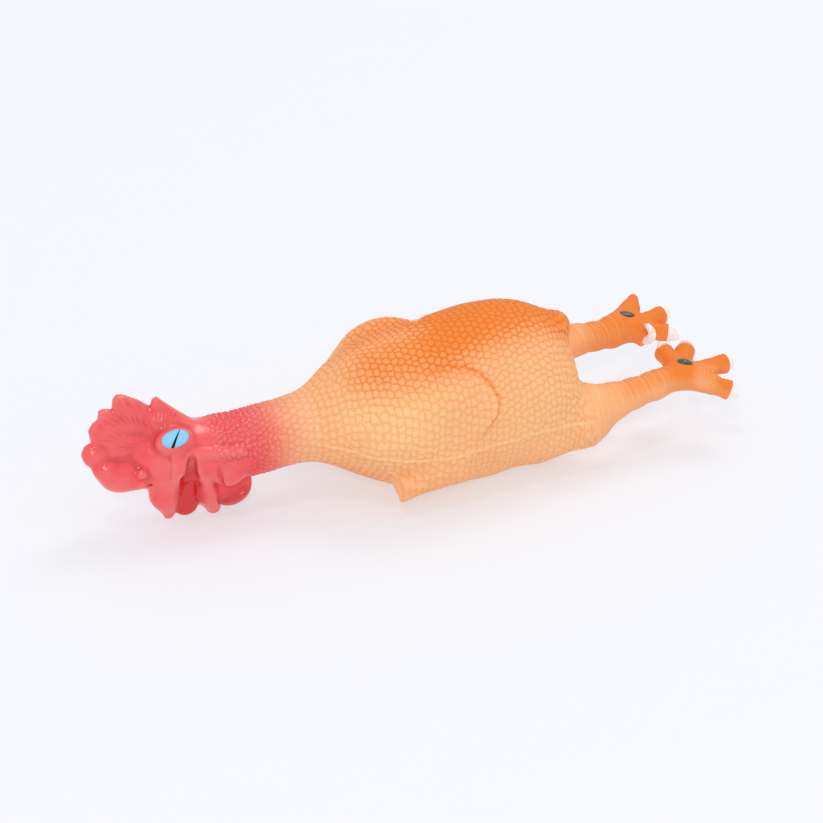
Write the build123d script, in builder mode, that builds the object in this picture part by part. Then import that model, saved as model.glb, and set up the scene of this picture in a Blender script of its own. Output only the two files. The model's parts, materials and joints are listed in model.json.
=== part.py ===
"""Rubber chicken: a hollow latex squeaking toy in the shape of a plucked chicken, in millimetres.

The toy lies on its belly with its head towards -X, its feet towards +X and its left side towards -Y.
The origin is on the surface that it lies on, under the middle of its length.

The moulding is one latex skin, which bends at the neck, the hips and the ankles. Here it is cut at
each of those places. A short ball-shaped flexure keeps the two sides joined, and each rim stands far
enough from the joint's centre for the bend to close up without the rims meeting.
"""

import os
from math import cos, radians, sin, tan

from build123d import *

os.makedirs("parts", exist_ok=True)

# ---------------------------------------------------------------- driving dimensions
WALL = 1.8  # latex skin
RUN_GAP = 0.4  # between surfaces that slide past each other
RIM_CLEAR = 0.5  # left between two rims when a flexure is fully bent
FLEXURE_WALL = 1.5
FLEXURE_REACH = 0.85  # how far a flexure reaches past its centre, and the width of its air passage,
FLEXURE_BORE = 0.55  # each as a share of its ball's radius

# torso: station x, crown z, keel z, half width
TORSO_STATIONS = [
    (-48.6, 46.8, 18.6, 14.0),
    (-38, 55.6, 14.8, 20.4),
    (-26, 62.6, 8.0, 27.6),
    (-10, 67.6, 0.8, 34.0),
    (12, 69.4, -1.8, 36.2),
    (26, 70.8, -1.8, 36.0),
    (40, 70.4, 0.6, 34.5),
    (54, 65.6, 3.6, 31.5),
    (62, 59.4, 7.5, 27.0),
    (67, 50.5, 13.5, 20.5),
]

# back panel: the soft crown of the torso that a hand presses down
PANEL_CENTRE_X, PANEL_LENGTH, PANEL_WIDTH = 12, 72, 44
WAIST_Z = 34

# wings: oval bulges on the flanks, each with a tip that hangs below it
WING_CENTRE, WING_SIZE, WING_LEAN = Vector(-2, 30.5, 36), (26, 8.6, 20.5), 12
WING_TIP_ROOT, WING_TIP, WING_TIP_RADII = Vector(1, 26, 18), Vector(-17, 31, 8.2), (10.5, 2.0)

# tail: a stub over the rear
TAIL_ROOT, TAIL_TIP, TAIL_RADII, TAIL_SQUASH = Vector(52, 0, 54), Vector(67.5, 0, 61.5), (9.5, 5.0), 0.7

# neck, between two flexures
NECK_JOINT = Vector(-53.6, 0, 32.6)
HEAD_JOINT = Vector(-79, 0, 29.8)
NECK_RADIUS, HEAD_RADIUS = 13.8, 13.1
NECK_BEND, HEAD_TURN = 30, 35

# head: station x, centre z, half height, half width
HEAD_STATIONS = [
    (-92, 31.2, 13.8, 13.2),
    (-103, 34.2, 12.8, 13.0),
    (-112, 34.6, 8.2, 9.0),
    (-117, 33.2, 4.6, 5.2),
]
HEAD_CAVITY_END = -110
EYE_CENTRE = Vector(-105, 9.4, 43.2)
EYE_LENGTH, EYE_HEIGHT, EYE_DEPTH = 11.2, 7.4, 1.6
EYE_GAZE, EYE_SLANT = Vector(-0.12, 0.72, 0.68), (1, 0, 0.2)

# beak halves and the web between them, from the top down: x, z, half width, half depth
UPPER_BEAK = [(-106, 27, 9.5, 9.5), (-107.5, 13, 6.5, 6.0), (-108, 1.6, 1.8, 1.8)]
MOUTH_WEB = [(-99.5, 25, 5.5, 9.0), (-99.5, 12, 3.4, 7.5), (-99.5, 4.5, 2.0, 5.5)]
LOWER_BEAK = [(-92.5, 24, 9.0, 7.0), (-91, 11, 6.0, 4.6), (-89.5, 1.0, 2.2, 2.2)]

# wattle: the round flap under the throat
WATTLE_CENTRE, WATTLE_SIZE = (-81.2, 0, 8.2), (8.2, 5.2, 6.6)

# comb: a fan of five spikes and a round lobe over the beak, in the plane Y = 0
COMB_THICKNESS = 5
COMB_OUTLINE = [
    (-93, 40),
    (-109.5, 58.5),
    (-112.6, 54.6),
    (-125.3, 62.4),
    (-128, 55.8),
    (-132.7, 57.0),
    (-133.8, 52.4),
    (-137.6, 49.3),
    (-136.2, 42.2),
    (-140.6, 39.0),
    (-136.5, 31.5),
    (-128, 30),
    (-108, 28),
]
COMB_TIP_ROUND = 1.2
COMB_HINGE_TOP, COMB_HINGE_FOOT = Vector(-102, 0, 49.6), Vector(-134, 0, 31.8)
COMB_HINGE_GAP = 1.6
LOBE_CENTRE, LOBE_SIZE = Vector(-125.5, 0, 26.4), (9.6, 7.5, 8.2)

# legs: hip and ankle joints, foot centre; one tuple for each side
LEGS = {
    "left": (Vector(80, -20, 28), Vector(101, -17.5, 33), Vector(115, -15, 32.5)),
    "right": (Vector(82.5, 22, 36), Vector(101.5, 26, 36.5), Vector(111.5, 28.5, 34)),
}
THIGH_ROOTS = {"left": Vector(48, -15, 22), "right": Vector(48, 16, 28)}
THIGH_RADIUS, HIP_RADIUS, ANKLE_RADIUS = 15.5, 7.8, 6.4
THIGH_BULGE = 1.0
LEG_BEND, ANKLE_BEND = 30, 25
PALM_RADIUS, PALM_HEIGHT = 8.2, 5.6
INSTEP_END_RADIUS, INSTEP_END_DROP = 4.8, 1.2
FOOT_CUP_DEPTH = 3.2
SPOT_SIZE, SPOT_SHIFTS = (3.8, 2.6, 1.6), {"left": 1.0, "right": 2.0}

# toes: angle from +X towards +Y in degrees, drop angle, length from the foot's centre
TOES = {
    "left": [(86, -12, 20), (58, -10, 21), (4, 0, 22), (-27, 18, 22)],
    "right": [(60, -8, 19), (11, -4, 18), (-33, 8, 14), (-86, 16, 9)],
}
TOE_RADIUS, TOE_END_RADIUS = 4.0, 4.6
CLAW_LENGTH, CLAW_RADIUS, CLAW_TIP_RADIUS = 4.4, 3.6, 1.6

# squeaker, pressed into a collar in the flat of the belly
SQUEAKER_X, SQUEAKER_RADIUS = 14, 9.0
SQUEAKER_RECESS = 0.8
COLLAR_WALL, COLLAR_TOP = 2.4, 8.0
CUP_TOP, CUP_WALL = 13.0, 1.2
FLANGE_RADIUS, FLANGE_THICKNESS = 12.4, 1.2
GRILLE_THICKNESS, GRILLE_HOLE_RADIUS, GRILLE_HOLE_RING, GRILLE_HOLES = 1.2, 0.9, 4.2, 6
REED_TUBE_RADIUS, REED_TUBE_WALL, REED_TUBE_FLOOR = 3.4, 0.8, 1.0
REED_WIDTH, REED_THICKNESS, REED_STAND_OFF = 3.6, 0.3, 0.35
REED_FOOT_Z, REED_TOP_Z = 4.4, 11.0


# ---------------------------------------------------------------- shared shapes
def flexure_gap(radius, bend, before, after):
    """Distance from a joint's centre to each rim, so that the rims stay apart when fully bent.

    The tube already turns at rest, from the direction before the joint to the one after it.
    """
    turn = bend + Vector(before.X, 0, before.Z).get_angle(Vector(after.X, 0, after.Z))
    return radius * tan(radians(turn) / 2) + RIM_CLEAR


def station_plane(x, z):
    """A plane across the toy: its own x is the toy's Y, and its own y is the toy's Z."""
    return Plane(origin=(x, 0, z), x_dir=(0, 1, 0), z_dir=(1, 0, 0))


def limb(points, radii, squash=1.0):
    """A closed loft of circles across a limb, from its first point to its last."""
    with BuildPart() as made:
        for i, (point, radius) in enumerate(zip(points, radii)):
            before, after = points[max(i - 1, 0)], points[min(i + 1, len(points) - 1)]
            across = (after - before).cross(Vector(0, 0, 1))
            with BuildSketch(Plane(origin=point, x_dir=across, z_dir=after - before)):
                Ellipse(radius, radius * squash)
        loft()
    return made.part


def cone(start, end, start_radius, end_radius):
    """A straight solid limb that tapers or flares from one point to another."""
    line = end - start
    with BuildPart() as made:
        with Locations(Plane(origin=start, z_dir=line)):
            Cone(start_radius, end_radius, line.length, align=(Align.CENTER, Align.CENTER, Align.MIN))
    return made.part


def flexure(parent, centre, direction, tube_radius, gap):
    """The ball-shaped zone between two rims, with a web that joins it to the parent's rim."""
    ball = tube_radius - WALL - RUN_GAP
    low, high = -gap - FLEXURE_WALL, ball * FLEXURE_REACH
    across = direction.cross(Vector(0, 1, 0))
    with BuildPart() as made:
        with BuildSketch(Plane(origin=centre, x_dir=direction, z_dir=across)):
            Circle(ball)
            with Locations((low + FLEXURE_WALL / 2, tube_radius / 2)):
                Rectangle(FLEXURE_WALL, tube_radius - WALL / 2)
            Circle(ball - FLEXURE_WALL, mode=Mode.SUBTRACT)
            Rectangle(4 * tube_radius, 2 * FLEXURE_BORE * ball, mode=Mode.SUBTRACT)
            with Locations(((low + high) / 2, tube_radius)):
                Rectangle(high - low, 2 * tube_radius, mode=Mode.INTERSECT)
        revolve(axis=Axis(centre, direction))
        add(parent, mode=Mode.SUBTRACT)
    return made.part


def export(part, name):
    """Labels one finished piece and writes its file."""
    part.label = name
    export_step(part, f"parts/{name}.step")


# ---------------------------------------------------------------- torso
def torso_envelope(inset):
    """The torso's outer form, or its cavity when inset by the wall. The belly is flat."""
    with BuildPart() as made:
        for number, (x, crown, keel, half_width) in enumerate(TORSO_STATIONS):
            is_rear = number == len(TORSO_STATIONS) - 1
            plane = station_plane(x - inset if is_rear else x, (crown + keel) / 2)
            with BuildSketch(plane):
                Ellipse(half_width - inset, (crown - keel) / 2 - inset)
        loft()
        split(bisect_by=Plane.XY.offset(inset), keep=Keep.TOP)
    return made.part


def panel_prism(clearance):
    """An upright oval prism around the back panel."""
    with BuildPart() as made:
        with BuildSketch(Plane.XY.offset(WAIST_Z)):
            with Locations((PANEL_CENTRE_X, 0)):
                Ellipse(PANEL_LENGTH / 2 + clearance, PANEL_WIDTH / 2 + clearance)
        extrude(amount=60)
    return made.part


def wing_form(sign, inset):
    """A wing folded against the flank: an oval bulge that leans inwards at the top."""
    with BuildPart() as ball:
        Sphere(1)
        scale(by=tuple(float(size - inset) for size in WING_SIZE))
    place = Location((WING_CENTRE.X, sign * WING_CENTRE.Y, WING_CENTRE.Z), (-sign * WING_LEAN, 0, 0))
    return place * ball.part


def hip_gap(side):
    """Distance from a hip's centre to the rims of the thigh and of the leg."""
    hip, ankle, _ = LEGS[side]
    return flexure_gap(HIP_RADIUS, LEG_BEND, hip - THIGH_ROOTS[side], ankle - hip)


def thigh_form(side, inset):
    """A drumstick, from inside the torso to the rim at the hip."""
    hip, ankle, _ = LEGS[side]
    root = THIGH_ROOTS[side]
    rim = hip - (ankle - hip).normalized() * hip_gap(side)
    middle_radius = (THIGH_RADIUS + HIP_RADIUS) / 2 + THIGH_BULGE
    return limb(
        [root, (root + rim) / 2, rim],
        [THIGH_RADIUS - inset, middle_radius - inset, HIP_RADIUS - inset],
    )


SIDES = {"left": -1, "right": 1}
torso_outer = torso_envelope(0)
torso_cavity = torso_envelope(WALL)

with BuildPart() as torso_shell:
    add(torso_outer)
    add(torso_cavity, mode=Mode.SUBTRACT)
    with BuildSketch(Plane.XY.offset(WALL / 2)):
        with Locations((SQUEAKER_X, 0)):
            Circle(SQUEAKER_RADIUS + COLLAR_WALL)
    extrude(amount=COLLAR_TOP - WALL / 2)
    with BuildSketch(Plane.XY.offset(-1)):
        with Locations((SQUEAKER_X, 0)):
            Circle(SQUEAKER_RADIUS)
    extrude(amount=COLLAR_TOP + 1, mode=Mode.SUBTRACT)
    add(panel_prism(RUN_GAP), mode=Mode.SUBTRACT)
    for side, sign in SIDES.items():
        add(wing_form(sign, WALL), mode=Mode.SUBTRACT)
        add(thigh_form(side, WALL), mode=Mode.SUBTRACT)
export(torso_shell.part, "torso_shell")

with BuildPart() as back_panel:
    add(torso_outer)
    add(torso_cavity, mode=Mode.SUBTRACT)
    add(panel_prism(0), mode=Mode.INTERSECT)
export(back_panel.part, "back_panel")

# ---------------------------------------------------------------- wings, thighs and tail
for side, sign in SIDES.items():
    wing_tip_line = [Vector(p.X, sign * p.Y, p.Z) for p in (WING_TIP_ROOT, WING_TIP)]
    with BuildPart() as wing:
        add(wing_form(sign, 0))
        add(cone(*wing_tip_line, *WING_TIP_RADII))
        add(wing_form(sign, WALL), mode=Mode.SUBTRACT)
        add(torso_outer, mode=Mode.SUBTRACT)
    export(wing.part, f"{side}_wing")

thighs = {}
for side in SIDES:
    with BuildPart() as thigh:
        add(thigh_form(side, 0))
        add(thigh_form(side, WALL), mode=Mode.SUBTRACT)
        add(torso_outer, mode=Mode.SUBTRACT)
    thighs[side] = thigh.part
    export(thigh.part, f"{side}_thigh")

with BuildPart() as tail:
    add(limb([TAIL_ROOT, TAIL_TIP], TAIL_RADII, squash=TAIL_SQUASH))
    add(torso_outer, mode=Mode.SUBTRACT)
export(tail.part, "tail")

# ---------------------------------------------------------------- neck
neck_direction = (HEAD_JOINT - NECK_JOINT).normalized()
forwards = Vector(-1, 0, 0)
neck_gap = flexure_gap(NECK_RADIUS, NECK_BEND, forwards, neck_direction)
head_gap = flexure_gap(HEAD_RADIUS, HEAD_TURN, forwards, forwards)
neck_rims = [NECK_JOINT + neck_direction * neck_gap, HEAD_JOINT - neck_direction * head_gap]

with BuildPart() as neck_tube:
    add(limb(neck_rims, [NECK_RADIUS, HEAD_RADIUS]))
    add(limb(neck_rims, [NECK_RADIUS - WALL, HEAD_RADIUS - WALL]), mode=Mode.SUBTRACT)
export(neck_tube.part, "neck_tube")

export(
    flexure(torso_shell.part, NECK_JOINT, neck_direction, NECK_RADIUS, neck_gap),
    "neck_flexure",
)
export(
    flexure(neck_tube.part, HEAD_JOINT, neck_direction, HEAD_RADIUS, head_gap),
    "head_flexure",
)


# ---------------------------------------------------------------- head
def head_envelope(inset):
    """The skull and cheeks, from the rim at the head joint to the brow."""
    rim = HEAD_JOINT + neck_direction * head_gap
    with BuildPart() as made:
        with BuildSketch(Plane(origin=rim, x_dir=(0, 1, 0), z_dir=(1, 0, 0))):
            Circle(HEAD_RADIUS - inset)
        for x, z, half_height, half_width in HEAD_STATIONS:
            x = max(x, HEAD_CAVITY_END) if inset else x
            with BuildSketch(station_plane(x, z)):
                Ellipse(half_width - inset, half_height - inset)
            if x == HEAD_CAVITY_END:
                break
        loft()
    return made.part


def beak_half(stations):
    """One half of the open beak: a tapering loft that points down."""
    with BuildPart() as made:
        for x, z, half_width, half_depth in stations:
            with BuildSketch(Plane.XY.offset(z)):
                with Locations((x, 0)):
                    Ellipse(half_depth, half_width)
        loft()
    return made.part


hinge_line = (COMB_HINGE_FOOT - COMB_HINGE_TOP).normalized()
comb_outward = Vector(hinge_line.Z, 0, -hinge_line.X)
comb_root_plane = Plane(
    origin=COMB_HINGE_TOP - comb_outward * COMB_HINGE_GAP / 2, z_dir=comb_outward
)
comb_foot_plane = Plane(
    origin=COMB_HINGE_TOP + comb_outward * COMB_HINGE_GAP / 2, z_dir=comb_outward
)

with BuildPart() as comb_plate:
    with BuildSketch(Plane.XZ.offset(-COMB_THICKNESS / 2)):
        with BuildLine():
            Polyline(COMB_OUTLINE, close=True)
        make_face()
    extrude(amount=COMB_THICKNESS)
    fillet(comb_plate.edges().filter_by(Axis.Y), COMB_TIP_ROUND)

with BuildPart() as lobe:
    Sphere(1)
    scale(by=LOBE_SIZE)
placed_lobe = Pos(LOBE_CENTRE.X, 0, LOBE_CENTRE.Z) * lobe.part

with BuildPart() as comb:
    add(comb_plate.part)
    add(placed_lobe)
    split(bisect_by=comb_foot_plane, keep=Keep.TOP)
export(comb.part, "comb")

with BuildPart() as comb_root:
    add(comb_plate.part)
    add(placed_lobe)
    split(bisect_by=comb_root_plane, keep=Keep.BOTTOM)

with BuildPart() as head_shell:
    add(head_envelope(0))
    add(comb_root.part)
    for stations in (UPPER_BEAK, LOWER_BEAK, MOUTH_WEB):
        add(beak_half(stations))
    add(head_envelope(WALL), mode=Mode.SUBTRACT)
export(head_shell.part, "head_shell")

with BuildPart() as wattle_form:
    Sphere(1)
    scale(by=WATTLE_SIZE)
with BuildPart() as wattle:
    add(Pos(*WATTLE_CENTRE) * wattle_form.part)
    add(head_shell.part, mode=Mode.SUBTRACT)
export(wattle.part, "wattle")

for side, sign in SIDES.items():
    gaze = Vector(EYE_GAZE.X, sign * EYE_GAZE.Y, EYE_GAZE.Z)
    centre = Vector(EYE_CENTRE.X, sign * EYE_CENTRE.Y, EYE_CENTRE.Z)
    with BuildPart() as eye_form:
        Sphere(1)
        scale(by=(EYE_LENGTH / 2, EYE_HEIGHT / 2, EYE_DEPTH))
    socket = Plane(origin=centre, x_dir=EYE_SLANT, z_dir=gaze)
    with BuildPart() as eye:
        add(socket.location * eye_form.part)
        add(head_envelope(0), mode=Mode.SUBTRACT)
        add(comb_root.part, mode=Mode.SUBTRACT)
    export(eye.part, f"{side}_eye")


# ---------------------------------------------------------------- legs and feet
def toe_direction(turn, drop):
    """Unit vector of a toe that is turned from +X towards +Y and drops towards -Z."""
    turn, drop = radians(turn), radians(drop)
    return Vector(cos(turn) * cos(drop), sin(turn) * cos(drop), -sin(drop))


for side, (hip, ankle, palm) in LEGS.items():
    shin = (ankle - hip).normalized()
    instep = (palm - ankle).normalized()
    ankle_gap = flexure_gap(ANKLE_RADIUS, ANKLE_BEND, shin, instep)
    shin_line = [hip + shin * hip_gap(side), ankle - shin * ankle_gap]
    with BuildPart() as leg:
        add(limb(shin_line, [HIP_RADIUS, ANKLE_RADIUS]))
        add(limb(shin_line, [HIP_RADIUS - WALL, ANKLE_RADIUS - WALL]), mode=Mode.SUBTRACT)
    export(leg.part, f"{side}_leg")

    export(flexure(thighs[side], hip, shin, HIP_RADIUS, hip_gap(side)), f"{side}_hip_flexure")
    export(flexure(leg.part, ankle, shin, ANKLE_RADIUS, ankle_gap), f"{side}_ankle_flexure")

    toe_ends = []
    foot_rim = ankle + instep * ankle_gap
    with BuildPart() as foot:
        with Locations(palm):
            Sphere(PALM_RADIUS)
            Box(4 * PALM_RADIUS, 4 * PALM_RADIUS, 2 * PALM_HEIGHT, mode=Mode.INTERSECT)
        instep_end = palm - Vector(0, 0, INSTEP_END_DROP)
        add(cone(foot_rim, instep_end, ANKLE_RADIUS, INSTEP_END_RADIUS))
        for turn, drop, length in TOES[side]:
            direction = toe_direction(turn, drop)
            toe_end = palm + direction * length
            toe_ends.append((toe_end, direction))
            add(cone(palm, toe_end, TOE_RADIUS, TOE_END_RADIUS))
        split(bisect_by=Plane(origin=foot_rim, z_dir=instep), keep=Keep.TOP)
        with Locations(Plane(origin=foot_rim, z_dir=instep)):
            Cylinder(
                ANKLE_RADIUS - WALL,
                FOOT_CUP_DEPTH,
                align=(Align.CENTER, Align.CENTER, Align.MIN),
                mode=Mode.SUBTRACT,
            )
    export(foot.part, f"{side}_foot")

    with BuildPart() as claws:
        for toe_end, direction in toe_ends:
            claw_tip = toe_end + direction * CLAW_LENGTH
            add(cone(toe_end, claw_tip, CLAW_RADIUS, CLAW_TIP_RADIUS))
        add(foot.part, mode=Mode.SUBTRACT)
    export(claws.part, f"{side}_claws")

    with BuildPart() as spot_form:
        Sphere(1)
        scale(by=SPOT_SIZE)
    spot_centre = palm + instep * SPOT_SHIFTS[side] + Vector(0, 0, PALM_HEIGHT)
    with BuildPart() as spot:
        add(Pos(*spot_centre) * spot_form.part)
        add(foot.part, mode=Mode.SUBTRACT)
    export(spot.part, f"{side}_foot_spot")


# ---------------------------------------------------------------- squeaker
def disc(radius, low, high):
    """An upright disc on the squeaker's axis."""
    with BuildPart() as made:
        with BuildSketch(Plane.XY.offset(low)):
            with Locations((SQUEAKER_X, 0)):
                Circle(radius)
        extrude(amount=high - low)
    return made.part


grille_top = SQUEAKER_RECESS + GRILLE_THICKNESS
reed_tube_foot = grille_top + REED_TUBE_FLOOR
tube_top = CUP_TOP + REED_TUBE_FLOOR
with BuildPart() as squeaker_cup:
    add(disc(SQUEAKER_RADIUS, SQUEAKER_RECESS, CUP_TOP))
    add(disc(FLANGE_RADIUS, COLLAR_TOP, COLLAR_TOP + FLANGE_THICKNESS))
    add(disc(SQUEAKER_RADIUS - CUP_WALL, 0, CUP_TOP - CUP_WALL), mode=Mode.SUBTRACT)
    add(disc(REED_TUBE_RADIUS, 0, tube_top), mode=Mode.SUBTRACT)
export(squeaker_cup.part, "squeaker_cup")

with BuildPart() as squeaker_grille:
    add(disc(SQUEAKER_RADIUS - CUP_WALL, SQUEAKER_RECESS, grille_top))
    with BuildSketch(Plane.XY.offset(0)):
        with Locations((SQUEAKER_X, 0)):
            Circle(GRILLE_HOLE_RADIUS)
            with PolarLocations(GRILLE_HOLE_RING, GRILLE_HOLES):
                Circle(GRILLE_HOLE_RADIUS)
    extrude(amount=grille_top, mode=Mode.SUBTRACT)
export(squeaker_grille.part, "squeaker_grille")

with BuildPart() as reed_tube:
    add(disc(REED_TUBE_RADIUS, reed_tube_foot, tube_top))
    tube_bore = disc(REED_TUBE_RADIUS - REED_TUBE_WALL, reed_tube_foot + REED_TUBE_FLOOR, tube_top)
    add(tube_bore, mode=Mode.SUBTRACT)
    with BuildSketch(Plane.XY.offset(REED_FOOT_Z - RUN_GAP)):
        with Locations((SQUEAKER_X + REED_TUBE_RADIUS, 0)):
            Rectangle(REED_TUBE_RADIUS * 2, REED_TUBE_RADIUS * 2)
    extrude(amount=REED_TOP_Z - REED_FOOT_Z + RUN_GAP, mode=Mode.SUBTRACT)
export(reed_tube.part, "reed_tube")

with BuildPart() as reed:
    with BuildSketch(Plane.XY.offset(REED_FOOT_Z)):
        with Locations((SQUEAKER_X + REED_STAND_OFF + REED_THICKNESS / 2, 0)):
            Rectangle(REED_THICKNESS, REED_WIDTH)
    extrude(amount=REED_TOP_Z - RUN_GAP / 2 - REED_FOOT_Z)
export(reed.part, "reed")
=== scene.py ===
"""Rubber chicken: the visual model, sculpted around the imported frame.

Sizes are in millimetres unless a name says otherwise, and become metres when a mesh is made.
The skin is one signed-distance field, from which one mesh is taken. That mesh gets its scales, ridges
and folds as displacement, and is then cut into pieces where the frame's bodies meet.
"""

import json
import math

import bpy
import numpy as np
import openvdb
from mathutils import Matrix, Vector
from mathutils.bvhtree import BVHTree


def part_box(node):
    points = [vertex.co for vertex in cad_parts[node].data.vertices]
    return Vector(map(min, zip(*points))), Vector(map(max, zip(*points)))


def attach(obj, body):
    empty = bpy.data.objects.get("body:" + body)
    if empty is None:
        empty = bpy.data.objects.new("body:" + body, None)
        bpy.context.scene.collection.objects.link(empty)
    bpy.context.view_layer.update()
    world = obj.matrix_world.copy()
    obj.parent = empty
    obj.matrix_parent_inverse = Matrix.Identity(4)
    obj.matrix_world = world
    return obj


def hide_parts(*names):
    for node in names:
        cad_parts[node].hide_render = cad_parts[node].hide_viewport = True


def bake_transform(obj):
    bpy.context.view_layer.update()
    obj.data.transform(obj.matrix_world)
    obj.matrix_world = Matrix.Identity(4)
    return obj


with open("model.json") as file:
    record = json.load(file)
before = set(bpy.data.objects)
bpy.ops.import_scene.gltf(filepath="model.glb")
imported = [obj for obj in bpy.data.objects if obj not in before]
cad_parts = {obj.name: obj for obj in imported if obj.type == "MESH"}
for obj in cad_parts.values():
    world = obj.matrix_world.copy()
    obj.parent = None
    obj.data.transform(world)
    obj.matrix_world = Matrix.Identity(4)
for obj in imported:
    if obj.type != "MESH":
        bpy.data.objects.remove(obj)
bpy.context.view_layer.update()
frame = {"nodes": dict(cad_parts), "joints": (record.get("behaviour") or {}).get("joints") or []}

MM = 0.001
SIDES = {"left": -1, "right": 1}
JOINTS = {joint["name"]: joint for joint in frame["joints"]}


def joint_centre(name):
    """A hinge's centre in millimetres."""
    return np.array(JOINTS[name]["pos_m"]) / MM


def node_box(name):
    """A CAD node's lowest and highest corners in millimetres."""
    low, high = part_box(name)
    return np.array(low) / MM, np.array(high) / MM


# ---------------- clay: forms and their unions
FAR = 40.0


def soft_min(a, b, soft):
    """The smaller of two distances, rounded where they are within soft of each other."""
    if soft <= 0:
        return np.minimum(a, b)
    h = np.clip(0.5 + 0.5 * (b - a) / soft, 0, 1)
    return b + (a - b) * h - soft * h * (1 - h)


def ramp(value, low, high):
    """0 below low, 1 above high, and an S-shaped rise between them."""
    t = np.clip((value - low) / (high - low), 0, 1)
    return t * t * (3 - 2 * t)


def fall(value, low, high):
    """1 below low, 0 above high."""
    return ramp(-value, -high, -low)


def bell(*terms):
    """1 where each value is at its middle, and less over its width; a term is value, middle, width."""
    return np.exp(-sum(((value - middle) / width) ** 2 for value, middle, width in terms))


def past_plane(x, y, z, place, direction):
    """How far a point is past a plane through a place."""
    return (x - place[0]) * direction[0] + (y - place[1]) * direction[1] + (z - place[2]) * direction[2]


def mirrored(point, sign):
    return (point[0], sign * point[1], point[2])


class Form:
    """A signed distance and the box that it fills."""

    def __init__(self, distance, low, high):
        self.distance, self.low, self.high = distance, np.array(low, float), np.array(high, float)


def blob(centre, radii, lean=0.0, turn=0.0):
    """An ellipsoid; lean turns it about X, and turn about Y, in degrees."""
    centre, radii = np.array(centre, float), np.array(radii, float)
    rx, ry, rz = radii
    cl, sl = math.cos(math.radians(lean)), math.sin(math.radians(lean))
    ct, st = math.cos(math.radians(turn)), math.sin(math.radians(turn))

    def distance(x, y, z):
        x, y, z = x - centre[0], y - centre[1], z - centre[2]
        y, z = cl * y + sl * z, cl * z - sl * y
        x, z = ct * x - st * z, ct * z + st * x
        near = np.sqrt((x / rx) ** 2 + (y / ry) ** 2 + (z / rz) ** 2)
        steep = np.sqrt((x / rx**2) ** 2 + (y / ry**2) ** 2 + (z / rz**2) ** 2)
        return near * (near - 1) / np.maximum(steep, 1e-3)

    reach = radii.max() if lean or turn else radii
    return Form(distance, centre - reach, centre + reach)


def bone(start, end, start_radius, end_radius, flat=1.0):
    """A round-ended limb between two points; flat under 1 makes it thinner across Y."""
    start, end = np.array(start, float), np.array(end, float)
    along = end - start
    length_squared = float(along @ along)

    def distance(x, y, z):
        px, py, pz = x - start[0], y - start[1], z - start[2]
        t = np.clip((px * along[0] + py * along[1] + pz * along[2]) / length_squared, 0, 1)
        dx, dy, dz = px - t * along[0], (py - t * along[1]) / flat, pz - t * along[2]
        radius = start_radius + t * (end_radius - start_radius)
        return (np.sqrt(dx * dx + dy * dy + dz * dz) - radius) * (flat if flat < 1 else 1)

    reach = max(start_radius, end_radius) * max(flat, 1)
    return Form(distance, np.minimum(start, end) - reach, np.maximum(start, end) + reach)


def chain(points, radii):
    """The bones between consecutive points."""
    return [bone(*ends) for ends in zip(points, points[1:], radii, radii[1:])]


def side_bone(line, sign=1):
    """A bone from its start, end and radii, mirrored to the left where sign is -1."""
    start, end, start_radius, end_radius = line
    return bone(mirrored(start, sign), mirrored(end, sign), start_radius, end_radius)


class Clay:
    """A block of signed distances to which forms are added or from which they are cut."""

    def __init__(self, low, high, step):
        self.step, self.low = step, np.array(low, float)
        shape = np.ceil((np.array(high) - self.low) / step).astype(int) + 1
        self.axes = [self.low[i] + step * np.arange(shape[i]) for i in range(3)]
        self.value = np.full(shape, FAR, np.float32)

    def window(self, form, margin):
        """The slices and open grids of the cells around a form."""
        picks = []
        for axis, low, high in zip(self.axes, form.low - margin, form.high + margin):
            picks.append(slice(*np.searchsorted(axis, (low, high))))
        return tuple(picks), np.ix_(*[a[p].astype(np.float32) for a, p in zip(self.axes, picks)])

    def add(self, form, soft=3.0):
        picks, grids = self.window(form, soft + 3 * self.step)
        self.value[picks] = soft_min(self.value[picks], form.distance(*grids), soft)

    def cut(self, form, soft=1.0):
        picks, grids = self.window(form, soft + 3 * self.step)
        self.value[picks] = -soft_min(-self.value[picks], form.distance(*grids), soft)

    def add_all(self, forms):
        for form, soft in forms:
            self.add(form, soft)

    def emboss(self, low, high, relief):
        """Raises the surface inside a box by relief(x, y, z)."""
        picks, grids = self.window(Form(None, low, high), 0)
        self.value[picks] -= relief(*grids)

    def skin(self):
        """The surface, as points and four-sided faces."""
        grid = openvdb.FloatGrid(3.0 * self.step)
        grid.copyFromArray(np.clip(self.value, -3 * self.step, 3 * self.step))
        points, faces = grid.convertToQuads(isovalue=0.0)
        return points.astype(float) * self.step + self.low, faces.astype(np.int64)


# ---------------- torso and neck
# stations: x, middle z, half height, half width
TRUNK = np.array(
    [
        (-104, 32.8, 10.6, 11.0), (-96, 31.0, 12.2, 12.4), (-88, 30.3, 13.2, 13.0),
        (-79, 29.8, 13.2, 12.9), (-71, 30.4, 13.4, 13.1), (-61, 31.4, 13.5, 13.4),
        (-53, 32.4, 13.9, 13.9), (-48, 32.6, 14.4, 14.6), (-43, 33.4, 16.6, 17.0),
        (-38, 34.4, 19.8, 20.4), (-32, 34.8, 23.8, 24.6), (-26, 34.6, 26.9, 27.8),
        (-18, 33.8, 30.0, 31.2), (-10, 33.2, 32.2, 33.8), (0, 33.0, 33.8, 35.4),
        (12, 33.5, 35.2, 36.2), (26, 34.7, 36.6, 36.0), (40, 35.9, 35.4, 34.4),
        (50, 35.8, 33.0, 32.2), (58, 34.8, 28.2, 28.6), (63, 34.0, 23.6, 24.4),
        (66, 33.4, 18.4, 19.4), (67.6, 33.0, 12.0, 13.0), (68.6, 33.0, 0.0, 0.0),
    ]
)
PROFILE_STEP, TRUNK_SMOOTHING = 0.25, 3.0
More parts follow.
